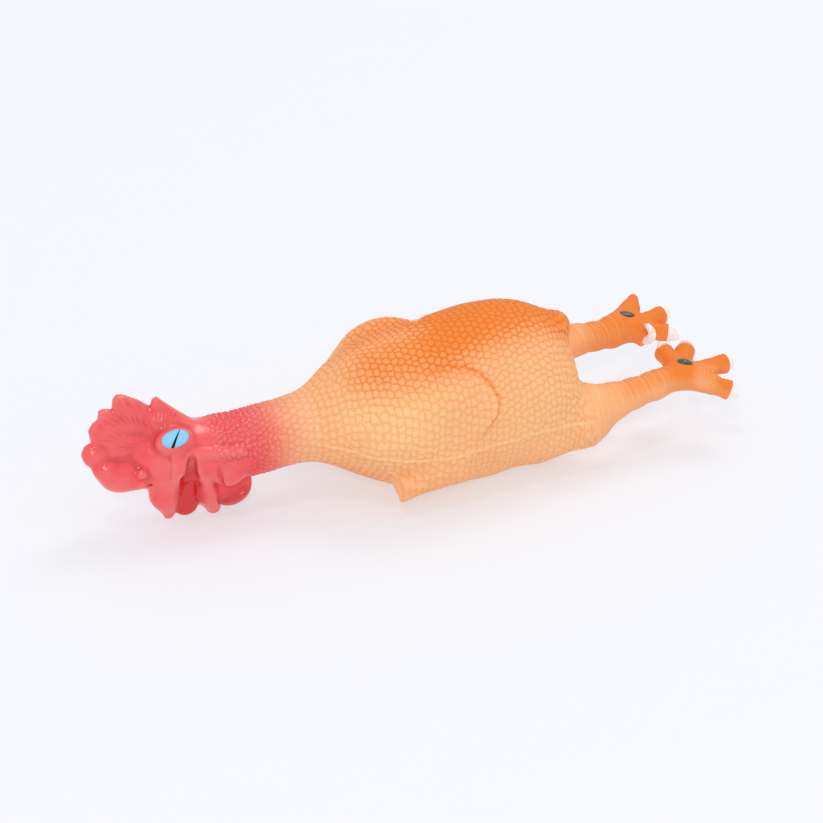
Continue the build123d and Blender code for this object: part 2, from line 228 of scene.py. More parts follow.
SHOULDER_TAPER = 0.22  # how much narrower the upper half gets towards the crown
BELLY_ROUNDING = 2.5


def trunk_profile():
    """Finely spaced x, middle z, squared half height and squared ratio of height to width, smoothed.

    Half heights are interpolated as squares, so the ends round off.
    """
    step = PROFILE_STEP
    x = np.arange(TRUNK[0, 0] - 20, TRUNK[-1, 0] + 12, step)
    squares = np.interp(x, TRUNK[:, 0], TRUNK[:, 2] ** 2)
    end_slope = (TRUNK[-1, 2] ** 2 - TRUNK[-2, 2] ** 2) / (TRUNK[-1, 0] - TRUNK[-2, 0])
    past = x > TRUNK[-1, 0]
    squares[past] = end_slope * (x[past] - TRUNK[-1, 0])
    ratio = np.interp(x, TRUNK[:-1, 0], TRUNK[:-1, 2] / TRUNK[:-1, 3]) ** 2
    middle = np.interp(x, TRUNK[:, 0], TRUNK[:, 1])
    reach = int(3 * TRUNK_SMOOTHING / step)
    kernel = np.exp(-0.5 * (np.arange(-reach, reach + 1) * step / TRUNK_SMOOTHING) ** 2)
    kernel /= kernel.sum()
    smooth = [np.convolve(np.pad(v, reach, "edge"), kernel, "valid") for v in (middle, ratio)]
    narrow = kernel[reach // 2 : -(reach // 2)] / kernel[reach // 2 : -(reach // 2)].sum()
    squares = np.convolve(np.pad(squares, reach - reach // 2, "edge"), narrow, "valid")
    return x, smooth[0], squares, smooth[1]


PROFILE_X, PROFILE_Z, PROFILE_SQUARE, PROFILE_RATIO = trunk_profile()
SLOPES = [np.gradient(v, PROFILE_X) for v in (PROFILE_Z, PROFILE_SQUARE, PROFILE_RATIO)]


def trunk_distance(x, y, z):
    """Distance to the torso and neck, without the flat of the belly."""
    flat_x = np.asarray(x, np.float64)
    middle, square, ratio, d_middle, d_square, d_ratio = [
        np.interp(flat_x, PROFILE_X, v).astype(np.float32)
        for v in (PROFILE_Z, PROFILE_SQUARE, PROFILE_RATIO, *SLOPES)
    ]
    up = z - middle
    body_share = ramp(x, -50, -20)
    height = np.sqrt(np.maximum(square, 25.0))
    ratio = ratio * (1 + SHOULDER_TAPER * body_share * ramp(up / height, 0.0, 1.0))
    level = ratio * y * y + up * up - square
    slope_x = d_ratio * y * y - 2 * up * d_middle - d_square
    slope = np.sqrt(slope_x**2 + (2 * ratio * y) ** 2 + (2 * up) ** 2)
    return level / np.maximum(slope, 8.0)


def trunk():
    def distance(x, y, z):
        return -soft_min(-trunk_distance(x, y, z), z + 0 * x + 0 * y, BELLY_ROUNDING)

    return Form(distance, (-106, -37.5, 0), (70, 37.5, 72))


# ---------------- wings, tail, legs
WING, WING_LEAN, WING_TURN = ((-5, 26.5, 37.6), (25.0, 9.2, 17.6)), -24, -8
# the wing's rear edge, seen from the side: it stands up as a low step that fades forwards
WING_EDGE = np.array(
    [
        (-14, 54.6), (-2.3, 57.6), (5.3, 59), (12.2, 58.2), (17.3, 56), (20.6, 52.1),
        (22.2, 48), (21.2, 44.2), (17.2, 39.4), (13.2, 34.8), (11, 31),
    ]
)
WING_STEP, WING_STEP_REACH, WING_GROOVE = 2.3, 6.0, 0.55
# these bones are a start, an end and the radii there
WING_FLAP = ((5, 25.5, 20.5), (-15.0, 29.4, 12.4), 9.8, 4.0)
WING_SPIKE = ((-13, 30.0, 14.0), (-18.2, 32.0, 9.0), 4.0, 0.9)
TAIL = ((50, 0, 53), (62.6, 0, 58.4), 11.0, 4.4)
# the far wing's shoulder stands up higher, with a dip behind it
FAR_SHOULDER, FAR_SHOULDER_TURN = ((-9, 21, 49.4), (18, 12, 12.6)), -14
FAR_DIP = ((4.5, 12, 66.0), (10.8, 28, 57.0), 2.6, 2.6)


def to_segment(x, z, start, end):
    """How far along a segment in the XZ plane its nearest point is, and the way from that point."""
    ex, ez = end[0] - start[0], end[1] - start[1]
    dx, dz = x - start[0], z - start[1]
    t = np.clip((dx * ex + dz * ez) / (ex * ex + ez * ez), 0, 1)
    return t, dx - t * ex, dz - t * ez


def side_of_line(points, x, z):
    """Distance to an open line in the XZ plane, negative on its right, and the share along it."""
    best = np.full(np.broadcast(x, z).shape, 1e9, np.float32)
    signed, along = best.copy(), np.zeros_like(best)
    lengths = np.hypot(*np.diff(points, axis=0).T)
    travelled = np.concatenate([[0], np.cumsum(lengths)])
    for i, (start, end) in enumerate(zip(points, points[1:])):
        t, dx, dz = to_segment(x, z, start, end)
        apart = np.sqrt(dx * dx + dz * dz)
        nearer = apart < best
        ex, ez = end - start
        side = np.where(ex * dz - ez * dx > 0, apart, -apart)
        signed = np.where(nearer, side, signed)
        along = np.where(nearer, (travelled[i] + t * lengths[i]) / travelled[-1], along)
        best = np.minimum(best, apart)
    return signed, along


def wing_edge_relief(x, y, z):
    beyond, along = side_of_line(WING_EDGE, x, z)
    far = ramp(y, 0, 10)
    fade = ramp(along, 0.02 + 0.26 * far, 0.35 + 0.2 * far)
    fade = fade * fall(along, 0.72, 0.99)
    inside = np.maximum(-beyond, 0)
    step = WING_STEP * np.exp(-inside / WING_STEP_REACH) * fall(beyond, -0.9, 0.9)
    return fade * (step - WING_GROOVE * bell((beyond, 0.9, 1.1)))


LEG_ROOTS = {"left": ((48, -15, 22), 16.0), "right": ((48, 16, 29.5), 11.5)}
# radii at the knee, hip, shin and ankle
LEG_RADII = {"left": (12.6, 7.6, 6.0, 5.7), "right": (7.6, 6.4, 5.8, 6.0)}
ANKLE_SAG = {"left": 2.6, "right": 2.8}
KNEE_SAG = {"left": 2.4, "right": 0.0}
PALM_RADIUS, PALM_FLATNESS = 6.4, 0.8
# from the ankle to the palm's middle
INSTEPS = {"left": (14.0, 2.5, -1.1), "right": (10.0, 2.5, -3.1)}
# angle from +X towards +Y, drop, length
TOES = {
    "left": [(88, -3, 18.5), (58, -3, 19.5), (4, 0, 22), (-27, 18, 22)],
    "right": [(60, -13, 20), (11, -4, 18), (-25, 8, 17), (-64, 15, 9.5)],
}
TOE_ROOT_RADIUS, TOE_WAIST_RADIUS, TOE_END_RADIUS = 4.3, 3.4, 4.5
WAIST_SHARE = 0.62
THICK_TOE, THICK_TOE_RADII = ("left", 3), (6.0, 4.4)
WEBBED_TOE = ("right", 0)


def hip_of(side):
    return joint_centre(f"{side}_leg_swing")


def ankle_of(side):
    return joint_centre(f"{side}_foot_flex")


def palm_centre(side):
    return ankle_of(side) + INSTEPS[side]


def toe_line(side, toe):
    """A toe's root, its end and its direction."""
    turn, drop, length = toe
    turn, drop = math.radians(turn), math.radians(drop)
    flat = math.cos(drop)
    direction = np.array([math.cos(turn) * flat, math.sin(turn) * flat, -math.sin(drop)])
    root = palm_centre(side)
    return root, root + direction * length, direction


def leg_forms(side):
    """The leg's bones from inside the torso to the palm, each with how softly it joins."""
    hip, ankle = hip_of(side), ankle_of(side)
    root, root_radius = LEG_ROOTS[side]
    knee = np.array(root) + 0.62 * (hip - np.array(root)) - (0, 0, KNEE_SAG[side])
    ankle = ankle - (0, 0, ANKLE_SAG[side])
    shin = hip + 0.5 * (ankle - hip)
    places = [root, knee, hip, shin, ankle, palm_centre(side)]
    radii = [root_radius, *LEG_RADII[side], PALM_RADIUS * 0.92]
    return list(zip(chain(places, radii), (6.0, 4.0, 3.0, 3.0, 3.0)))


def flared(waist, end, direction):
    """A toe's last length, which widens to a flat end."""
    whole = bone(waist, end + direction, TOE_WAIST_RADIUS, TOE_END_RADIUS)

    def distance(x, y, z):
        return -soft_min(-whole.distance(x, y, z), -past_plane(x, y, z, end, direction), 0.9)

    return Form(distance, whole.low, whole.high)


def foot_forms(side):
    """The palm and the toes: each toe narrows to a waist and flares at its end, or is a pointed web."""
    width = PALM_RADIUS + 1.2
    forms = [(blob(palm_centre(side), (width, width, PALM_RADIUS * PALM_FLATNESS)), 3.0)]
    for number, toe in enumerate(TOES[side]):
        root, end, direction = toe_line(side, toe)
        waist = root + (end - root) * WAIST_SHARE
        is_thick = (side, number) == THICK_TOE
        radii = THICK_TOE_RADII if is_thick else (TOE_ROOT_RADIUS, TOE_WAIST_RADIUS)
        forms.append((bone(root, waist, *radii), 2.5))
        if (side, number) == WEBBED_TOE:
            forms.append((bone(ankle_of(side), end - direction, 5.0, 1.7), 3.0))
            forms.append((bone(waist, end, TOE_WAIST_RADIUS, 2.0), 1.5))
        else:
            forms.append((flared(waist, end, direction), 1.5))
    return forms


# ---------------- head
SKULL = [
    (blob((-101, 0, 32.8), (15.0, 12.4, 11.4)), 4.0),
    (blob((-112, 0, 33.0), (10.0, 8.6, 9.0)), 5.0),
]
COMB_OUTLINE = np.array(
    [
        (-93, 38), (-96.4, 45.0), (-101.5, 50.5), (-106.6, 55.6), (-109.6, 58.6), (-111.6, 57.4),
        (-112.4, 54.8), (-117.0, 58.6), (-122.6, 62.0), (-125.6, 62.6), (-127.4, 60.2),
        (-127.8, 56.4), (-131.0, 57.2), (-133.2, 56.6), (-133.8, 52.9), (-136.4, 50.8),
        (-137.8, 48.6), (-137.4, 44.6), (-136.6, 42.3), (-139.6, 41.0), (-140.9, 38.2),
        (-139.6, 34.6), (-136.6, 31.8), (-128, 28), (-108, 26),
    ]
)
COMB_CENTRE = np.array((-112.0, 36.0))
COMB_EDGE_HALF, COMB_ROOT_HALF, COMB_DEPTH = 1.5, 5.8, 22.0
COMB_ROUND = 1.0
LOBE = [
    (blob((-125.5, 0, 27.0), (9.9, 7.8, 8.0)), 1.6),
    (blob((-136.4, 0, 37.6), (4.4, 4.3, 4.8)), 2.2),
    (blob((-132.2, 0, 30.8), (5.4, 6.2, 5.2)), 2.4),
    (blob((-119.5, 0, 25.5), (6.0, 7.4, 6.4)), 2.0),
]
CREST = [(blob((-105.4, 0, 43.2), (11.0, 6.2, 6.0), turn=40), 4.0)]


def comb():
    """The fan of spikes: thick at its root, and thin at its edge."""
    points = COMB_OUTLINE
    after = np.roll(points, -1, axis=0)

    def distance(x, y, z):
        best = np.full(np.broadcast(x, z).shape, 1e9, np.float32)
        inside = np.zeros(best.shape, bool)
        for start, end in zip(points, after):
            _, dx, dz = to_segment(x, z, start, end)
            best = np.minimum(best, dx**2 + dz**2)
            (ax, az), (ex, ez) = start, end - start
            crosses = (az > z) != (end[1] > z)
            inside ^= crosses & (x < ax + ex * (z - az) / (ez if ez else 1e-9))
        flat = np.sqrt(best)
        flat = np.where(inside, -flat, flat)
        share = np.clip(-flat / COMB_DEPTH, 0, 1)
        half = COMB_EDGE_HALF + (COMB_ROOT_HALF - COMB_EDGE_HALF) * share**0.9
        side = (np.abs(y) - half) * 0.96
        flat, side = flat + COMB_ROUND, side + COMB_ROUND
        outer = np.sqrt(np.maximum(flat, 0) ** 2 + np.maximum(side, 0) ** 2)
        return outer + np.minimum(np.maximum(flat, side), 0) - COMB_ROUND

    low, high = points.min(0), points.max(0)
    return Form(distance, (low[0], -COMB_ROOT_HALF, low[1]), (high[0], COMB_ROOT_HALF, high[1]))


UPPER_BEAK = [
    (bone((-108.0, 0, 24.0), (-108.4, 0, 12.5), 9.6, 6.2, flat=0.85), 4.0),
    (bone((-108.4, 0, 12.5), (-107.8, 0, 3.6), 6.2, 2.2, flat=0.85), 2.0),
]
LOWER_BEAK = [
    (bone((-93.6, 0, 27.0), (-92.0, 0, 12.0), 5.2, 5.6, flat=1.3), 2.0),
    (bone((-92.0, 0, 12.0), (-89.0, 0, 3.4), 5.6, 3.2, flat=1.15), 1.5),
]
MOUTH_WEB = [(bone((-100.4, 0, 24.0), (-100.2, 0, 6.6), 7.6, 5.2, flat=0.42), 1.5)]
# added to both cheeks: centre, radii, softness
FACE_BUMPS = {
    "cheek": ((-83.6, 6.2, 24.6), (7.6, 7.4, 8.6), 2.0),
    "nostril": ((-119.2, 7.4, 29.2), (2.2, 1.9, 2.2), 0.9),
    "lower nostril": ((-119.4, 6.8, 24.2), (2.0, 1.8, 1.9), 0.9),
    "eye mound": ((-105.4, 8.4, 42.0), (8.0, 4.4, 5.6), 2.5),
}
CHEEK_BONE = ((-99.0, 11.6, 36.2), (-79.5, 12.4, 34.2), 1.9, 1.5)
BEAK_CREST = ((-95.0, 9.6, 29.5), (-90.2, 4.4, 6.0), 1.9, 1.5)
# cut from both cheeks: top point, low point, radii
MOUTH_RECESS = ((-100.3, 9.0, 24.0), (-101.0, 5.6, 4.0), 3.4, 3.3)
MOUTH_CREASE = ((-99.8, 14.2, 37.5), (-100.3, 9.0, 24.0), 1.2, 3.4)
BEAK_GAP = ((-89.8, 14.2, 31.0), (-85.6, 6.2, 9.0), 0.7, 1.2)
NOSTRIL_HOLE = ((-116.0, 8.4, 23.0), (-115.4, 4.6, 22.0), 0.75, 0.6)


def head_forms():
    """The head's forms in the order in which they are added, each with how softly it joins."""
    forms = SKULL + CREST + [(comb(), 4.0)] + LOBE + UPPER_BEAK + LOWER_BEAK + MOUTH_WEB
    for sign in SIDES.values():
        for centre, radii, soft in FACE_BUMPS.values():
            forms.append((blob(mirrored(centre, sign), radii), soft))
        forms += [(side_bone(line, sign), 2.5) for line in (CHEEK_BONE, BEAK_CREST)]
    return forms


# ---------------- the whole skin
SKIN_STEP = 0.5
SQUEAKER_LOW, SQUEAKER_HIGH = node_box("squeaker_cup")
SQUEAKER_X = (SQUEAKER_LOW[0] + SQUEAKER_HIGH[0]) / 2
SQUEAKER_HOLE_RADIUS, SQUEAKER_HOLE_TOP = 9.05, 14.4


def squeaker_hole():
    def distance(x, y, z):
        across = np.sqrt((x - SQUEAKER_X) ** 2 + y * y) - SQUEAKER_HOLE_RADIUS
        return np.maximum(across, z - SQUEAKER_HOLE_TOP)

    r = SQUEAKER_HOLE_RADIUS
    return Form(distance, (SQUEAKER_X - r, -r, -4), (SQUEAKER_X + r, r, SQUEAKER_HOLE_TOP))


def sculpt_skin():
    clay = Clay((-146, -44, -6), (146, 52, 78), SKIN_STEP)
    clay.add(trunk(), 0)
    for sign in SIDES.values():
        clay.add(blob(mirrored(WING[0], sign), WING[1], WING_LEAN * sign, WING_TURN), 9.0)
        low_y, high_y = sorted((sign * 14, sign * 40))
        clay.emboss((-44, low_y, 22), (30, high_y, 68), wing_edge_relief)
        clay.add(side_bone(WING_FLAP, sign), 8.5)
        clay.add(side_bone(WING_SPIKE, sign), 2.5)
    clay.add(side_bone(TAIL), 9.0)
    clay.add(blob(*FAR_SHOULDER, turn=FAR_SHOULDER_TURN), 4.0)
    clay.cut(side_bone(FAR_DIP), 1.5)
    for side in SIDES:
        clay.add_all(leg_forms(side) + foot_forms(side))
    clay.add_all(head_forms())
    for sign in SIDES.values():
        for line in (MOUTH_RECESS, MOUTH_CREASE, BEAK_GAP):
            clay.cut(side_bone(line, sign), 1.4)
        clay.cut(side_bone(NOSTRIL_HOLE, sign), 0.6)
    clay.cut(squeaker_hole(), 0.6)
    return clay.skin()


# ---------------- surface detail
SCALE_ROW, SCALE_WIDTH, SCALE_HEIGHT = 2.85, 3.2, 0.46
NECK_PITCH, NECK_BUMP_HEIGHT = 2.5, 0.95
LEG_RIDGE_PITCH, LEG_RIDGE_HEIGHT = 1.9, 0.26
TOE_RIDGE_PITCH, TOE_RIDGE_HEIGHT = 1.8, 0.26
NECK_GIRTH = 2 * np.pi * 13.4
COMB_RIDGES, COMB_RIDGE_HEIGHT = 60, 0.45
HOLLOW_ROUNDS = 26
PARTING_LINE = np.array(
    [
        (-50, 31.4), (-43.5, 31), (-30, 29.2), (-17, 27.8), (-4, 27), (6, 27.4),
        (20, 28.6), (34, 29.2), (50, 28.4), (64, 27), (72, 26.6),
    ]
)
PARTING_HEIGHT, PARTING_WIDTH = 0.5, 0.5

CHANCE = np.random.default_rng(11)
JITTER = CHANCE.uniform(-1, 1, (512, 512, 2)).astype(np.float32)


def vertex_normals(points, faces):
    """Unit normals at the vertices, weighted by face area."""
    corner = points[faces]
    face_normals = np.cross(corner[:, 2] - corner[:, 0], corner[:, 3] - corner[:, 1])
    normals = np.empty_like(points)
    for i in range(3):
        weights = np.repeat(face_normals[:, i], faces.shape[1])
        normals[:, i] = np.bincount(faces.ravel(), weights, len(points))
    return normals / np.maximum(np.linalg.norm(normals, axis=1, keepdims=True), 1e-12)


def hollows(points, faces, normals):
    """How far the skin lies below its smoothed self, in millimetres; negative on ridges."""
    smoothed, corners = points, faces.ravel()
    share = np.bincount(corners, minlength=len(points))
    for _ in range(round(HOLLOW_ROUNDS * (0.5 / SKIN_STEP) ** 2)):
        middles = smoothed[faces].mean(axis=1)
        sums = [np.bincount(corners, np.repeat(middles[:, i], 4), len(points)) for i in range(3)]
        smoothed = np.stack(sums, axis=1) / share[:, None]
    return ((smoothed - points) * normals).sum(axis=1)


def pebbles(along, around, row_pitch, pitch, wander=0.27, bead=0.0):
    """Rows of scales: 0 in the creases, and 1 on their middles; bead makes them rounder."""
    nearest = np.full(along.shape, 1e9)
    second = nearest.copy()
    row = np.round(along / row_pitch).astype(int)
    for row_shift in (-1, 0, 1):
        r = row + row_shift
        stagger = 0.5 * (r % 2) * pitch
        column = np.round((around - stagger) / pitch).astype(int)
        for column_shift in (-1, 0, 1):
            c = column + column_shift
            shift = JITTER[r % 512, c % 512] * wander
            du = along - (r + shift[..., 0]) * row_pitch
            dv = around - stagger - (c + shift[..., 1]) * pitch
            apart = np.hypot(du, dv * row_pitch / pitch * 1.05)
            second = np.minimum(second, np.maximum(apart, nearest))
            nearest = np.minimum(nearest, apart)
    dome = 1 - bead * np.clip(nearest / (0.62 * pitch), 0, 1) ** 2
    return ramp(second - nearest, -0.05, 0.36 * row_pitch) * dome


def is_on(side, x, y):
    """Which points belong to a side's leg; the left toes reach a little past the middle."""
    middle = np.interp(x, (95, 105), (0, 8))
    return (y - middle) * SIDES[side] > 0


def leg_reach(side, points):
    """Distance along a leg from the hip, for every point."""
    root = np.array(LEG_ROOTS[side][0], float)
    line = [root, hip_of(side), ankle_of(side), palm_centre(side)]
    best = np.full(len(points), 1e9)
    along = np.zeros(len(points))
    travelled = -np.linalg.norm(line[1] - line[0])
    for start, end in zip(line, line[1:]):
        step = end - start
        length = np.linalg.norm(step)
        t = np.clip((points - start) @ step / length**2, 0, 1)
        apart = np.linalg.norm(points - start - t[:, None] * step, axis=1)
        along = np.where(apart < best, travelled + t * length, along)
        best = np.minimum(best, apart)
        travelled += length
    return along


def toe_ridges(side, points, normals):
    """Fine ridges across the toes' upper sides."""
    ridges = np.zeros(len(points))
    for toe in TOES[side]:
        root, end, direction = toe_line(side, toe)
        length = np.linalg.norm(end - root)
        t = (points - root) @ direction
        apart = np.linalg.norm(points - root - np.clip(t, 0, length)[:, None] * direction, axis=1)
        here = fall(apart, 5.6, 7.2) * ramp(t, 6, 10)
        here *= fall(t, length - 0.6, length + 1)
        ridges += here * (0.5 + 0.5 * np.cos(2 * np.pi * t / TOE_RIDGE_PITCH))
    return ridges * ramp(normals[:, 2], -0.2, 0.5)


def leg_fields(points, normals, angle):
    """Where the legs are, the ridges round them, the toes' ridges, and distances along a leg."""
    x, y, _ = points.T
    part, relief, toes, along = np.zeros((4, len(points)))
    upper = ramp(normals[:, 2], -0.35, 0.35)
    for side in SIDES:
        own = is_on(side, x, y) & (x > 55)
        reach = leg_reach(side, points)
        along = np.where(own, reach, along)
        here = own * ramp(reach, -16, -3) * ramp(x, 62, 75)
        part = np.maximum(part, here)
        wobble = 0.5 * np.sin(angle * 3 + reach * 0.9)
        band = 0.5 + 0.5 * np.cos(2 * np.pi * (reach + wobble) / LEG_RIDGE_PITCH)
        length = np.linalg.norm(palm_centre(side) - hip_of(side))
        relief += here * band * upper * fall(reach, length - 12, length - 4)
        toes += own * toe_ridges(side, points, normals)
    return part, relief, toes, along


def trunk_scales(x, angle):
    """The body's scales and the neck's pebbles: 0 in the creases, and 1 on their middles."""
    slope = np.sqrt(1 + np.gradient(np.sqrt(np.maximum(PROFILE_SQUARE, 1)), PROFILE_X) ** 2)
    arc = np.concatenate([[0], np.cumsum((slope[1:] + slope[:-1]) / 2 * np.diff(PROFILE_X))])
    along = np.interp(x, PROFILE_X, arc)
    row = np.round(along / SCALE_ROW) * SCALE_ROW
    row_radius = np.sqrt(np.maximum(np.interp(row, arc, PROFILE_SQUARE), 4))
    columns = np.maximum(np.round(2 * np.pi * row_radius / SCALE_WIDTH), 4)
    body = pebbles(along, angle / (2 * np.pi) * columns * SCALE_WIDTH, SCALE_ROW, SCALE_WIDTH)
    around = angle / (2 * np.pi) * np.round(NECK_GIRTH / NECK_PITCH) * NECK_PITCH
    neck = pebbles(along, around, NECK_PITCH * 0.92, NECK_PITCH, 0.3, bead=0.85)
    return body, neck


def comb_ridges(x, z, normals):
    """Waves that fan out from the comb's middle, from -1 to 1, and where the comb is."""
    turn = np.arctan2(z - COMB_CENTRE[1], COMB_CENTRE[0] - x)
    outward = np.hypot(x - COMB_CENTRE[0], z - COMB_CENTRE[1])
    waves = np.sin(turn * COMB_RIDGES + 1.3 * np.sin(outward * 0.55) + 2.0 * np.sin(turn * 7))
    waves *= 0.55 + 0.45 * np.sin(turn * 13 + outward * 0.7)
    part = fall(x, -103, -97) * ramp(z + 0.55 * x, -35, -27)
    part *= ramp(outward, 6, 12)
    part *= ramp(np.abs(normals[:, 1]), 0.55, 0.9)
    return waves, part


def parting_line(x, y, z):
    """The mould's parting line along both flanks."""
    height = np.interp(x, *PARTING_LINE.T)
    line = bell((z, height, PARTING_WIDTH)) * ramp(np.abs(y), 9, 12)
    return line * (ramp(x, -50, -42) * fall(x, 62, 70))


def wing_groove(x, y, z):
    """The line behind each wing's edge, which is painted as shade."""
    beyond, along = side_of_line(WING_EDGE, x, z)
    groove_shade = bell((beyond, 0.8, 1.0)) * ramp(along, 0.1, 0.5)
    return groove_shade * (fall(along, 0.75, 1.0) * ramp(np.abs(y), 14, 20))


def sprayed_red(x, z):
    """The red of the head, which runs out along the neck and under the chest."""
    red = fall(x, -76, -46)
    under = fall(z, 10, 24) * fall(x, -46, 4) * 0.45
    return np.maximum(red, under * fall(x, -40, -8))


def sprayed_orange(points, normals, turn, groove_shade, leg_part, leg_along):
    """Two strokes over the wings that meet on the rump, the upper sides of the legs, and painted shade
    along each wing's groove.
    """
    x, y, z = points.T
    stroke = 22 - 22 * ramp(x, -5, 34)
    width = 27 - 2 * ramp(x, -10, 40)
    band = bell((turn, stroke, width)) * ramp(x, -40, -22) * fall(x, 54, 74)
    band *= 0.66 + 0.34 * ramp(x, -12, 16)
    rump = bell((x, 27, 24)) * fall(turn, 4, 48)
    corner = bell((x, 61, 9), (y, 0, 9), (z, 58, 7))
    # the groove term is painted shade: more orange along the line behind each wing's edge
    body = np.clip(0.88 * band + 0.5 * rump + 0.18 * groove_shade + 0.5 * corner, 0, 1)
    upward = ramp(normals[:, 2], 0.1, 0.95)
    near_leg = 0.12 + 0.42 * upward + 0.32 * ramp(leg_along, 20, 34)
    from_instep = np.linalg.norm(points - palm_centre("left") - (9, -5, 1), axis=1)
    near_leg -= 0.42 * fall(from_instep, 3, 10)
    legs = leg_part * np.where(y < 0, near_leg, 0.5 + 0.25 * upward) * ramp(leg_along, -8, 14)
    return np.clip(np.maximum(body, legs), 0, 1)


def surface_fields(points, normals, hollow_shade):
    """Relief along the normal, and the paint's shares at every vertex; among them are painted shade in
    creases, grooves and hollows and painted highlight on the flanks, the parting line and ridges.
    """
    x, y, z = points.T
    angle = np.arctan2(y, z - np.interp(x, PROFILE_X, PROFILE_Z))
    leg_part, leg_relief, toe_relief, leg_along = leg_fields(points, normals, angle)
    body_scales, neck_scales = trunk_scales(x, angle)
    waves, comb_part = comb_ridges(x, z, normals)
    parting, groove_shade = parting_line(x, y, z), wing_groove(x, y, z)
    cheek = fall(x, -80, -73) * fall(z, 27, 33)
    head = np.maximum(fall(x, -93, -84), cheek)
    past_body = fall(x, -66, -58)
    neck = past_body * (1 - head)
    body = (1 - past_body) * (1 - leg_part)

    relief = SCALE_HEIGHT * body * body_scales * ramp(z, 0.4, 2.5)
    relief += NECK_BUMP_HEIGHT * neck * neck_scales
    relief += LEG_RIDGE_HEIGHT * leg_relief + TOE_RIDGE_HEIGHT * toe_relief
    relief += COMB_RIDGE_HEIGHT * comb_part * waves
    relief += PARTING_HEIGHT * parting

    # painted shade: the creases between scales, between leg ridges and in the comb's grooves are darkened
    crease_shade = body * (1 - body_scales) + 0.5 * neck * (1 - neck_scales)
    crease_shade += 0.5 * leg_part * (1 - leg_relief) + 0.3 * comb_part * (0.5 - 0.5 * waves)
    turn = np.degrees(np.abs(angle))
    # painted highlight: paler peach on the flanks, and along the parting line below
    painted_highlight = bell((x, -20, 24), (turn, 72, 26)) + 0.5 * bell((x, 45, 26), (turn, 85, 34))
    in_mouth = fall(np.abs(y), 5.5, 10.0) * fall(np.abs(x + 99.6), 4, 7.5)
    return relief, {
        "red": sprayed_red(x, z),
        "airbrush": sprayed_orange(points, normals, turn, groove_shade, leg_part, leg_along),
        "painted_highlight": np.clip(painted_highlight + 0.9 * parting, 0, 1) * (1 - leg_part),
        # painted shade in the creases and along the wing grooves
        "crease_shade": np.clip(crease_shade * (1 - parting) + 0.3 * groove_shade, 0, 1),
        "mouth": in_mouth * fall(z, 24, 33),
        # painted shade in the hollows
        "hollow_shade": ramp(hollow_shade, 0.02, 0.3),
        # painted highlight on the ridges
        "ridge_highlight": fall(hollow_shade, -0.5, -0.08),
    }


# ---------------- meshes
def mesh_object(name, points, faces, material, fields=None, normals=None):
    """An object from points in millimetres; fields become float attributes, and rest keeps the places."""
    mesh = bpy.data.meshes.new(name)
    count, corners = faces.shape
    mesh.vertices.add(len(points))
    mesh.vertices.foreach_set("co", (points * MM).astype(np.float32).ravel())
    mesh.loops.add(count * corners)
    mesh.loops.foreach_set("vertex_index", faces.astype(np.int32).ravel())
    mesh.polygons.add(count)
    mesh.polygons.foreach_set("loop_start", np.arange(0, count * corners, corners, dtype=np.int32))
    mesh.update(calc_edges=True)
    mesh.shade_smooth()
    rest = mesh.attributes.new("rest", "FLOAT_VECTOR", "POINT")
    rest.data.foreach_set("vector", points.astype(np.float32).ravel())
    for field, values in (fields or {}).items():
        made = mesh.attributes.new(field, "FLOAT", "POINT")
        made.data.foreach_set("value", values.astype(np.float32))
    if normals is not None:
        mesh.normals_split_custom_set_from_vertices(normals.astype(np.float32))
    made = bpy.data.objects.new(name, mesh)
    bpy.context.scene.collection.objects.link(made)
    made.data.materials.append(material)
    return made


def cut_piece(name, chosen, whole, material):
    """The chosen faces of the whole skin, as an object of its own."""
    points, faces, normals, fields = whole
    used, index = np.unique(faces[chosen], return_inverse=True)
    own_fields = {field: values[used] for field, values in fields.items()}
    return mesh_object(name, points[used], index.reshape(-1, 4), material, own_fields, normals[used])


# ---------------- materials
def linear(hex_colour):
    """A screen colour such as F8B783 as linear RGBA."""
    parts = [int(hex_colour[i : i + 2], 16) / 255 for i in (0, 2, 4)]
    return (*[((c + 0.055) / 1.055) ** 2.4 if c > 0.04045 else c / 12.92 for c in parts], 1.0)


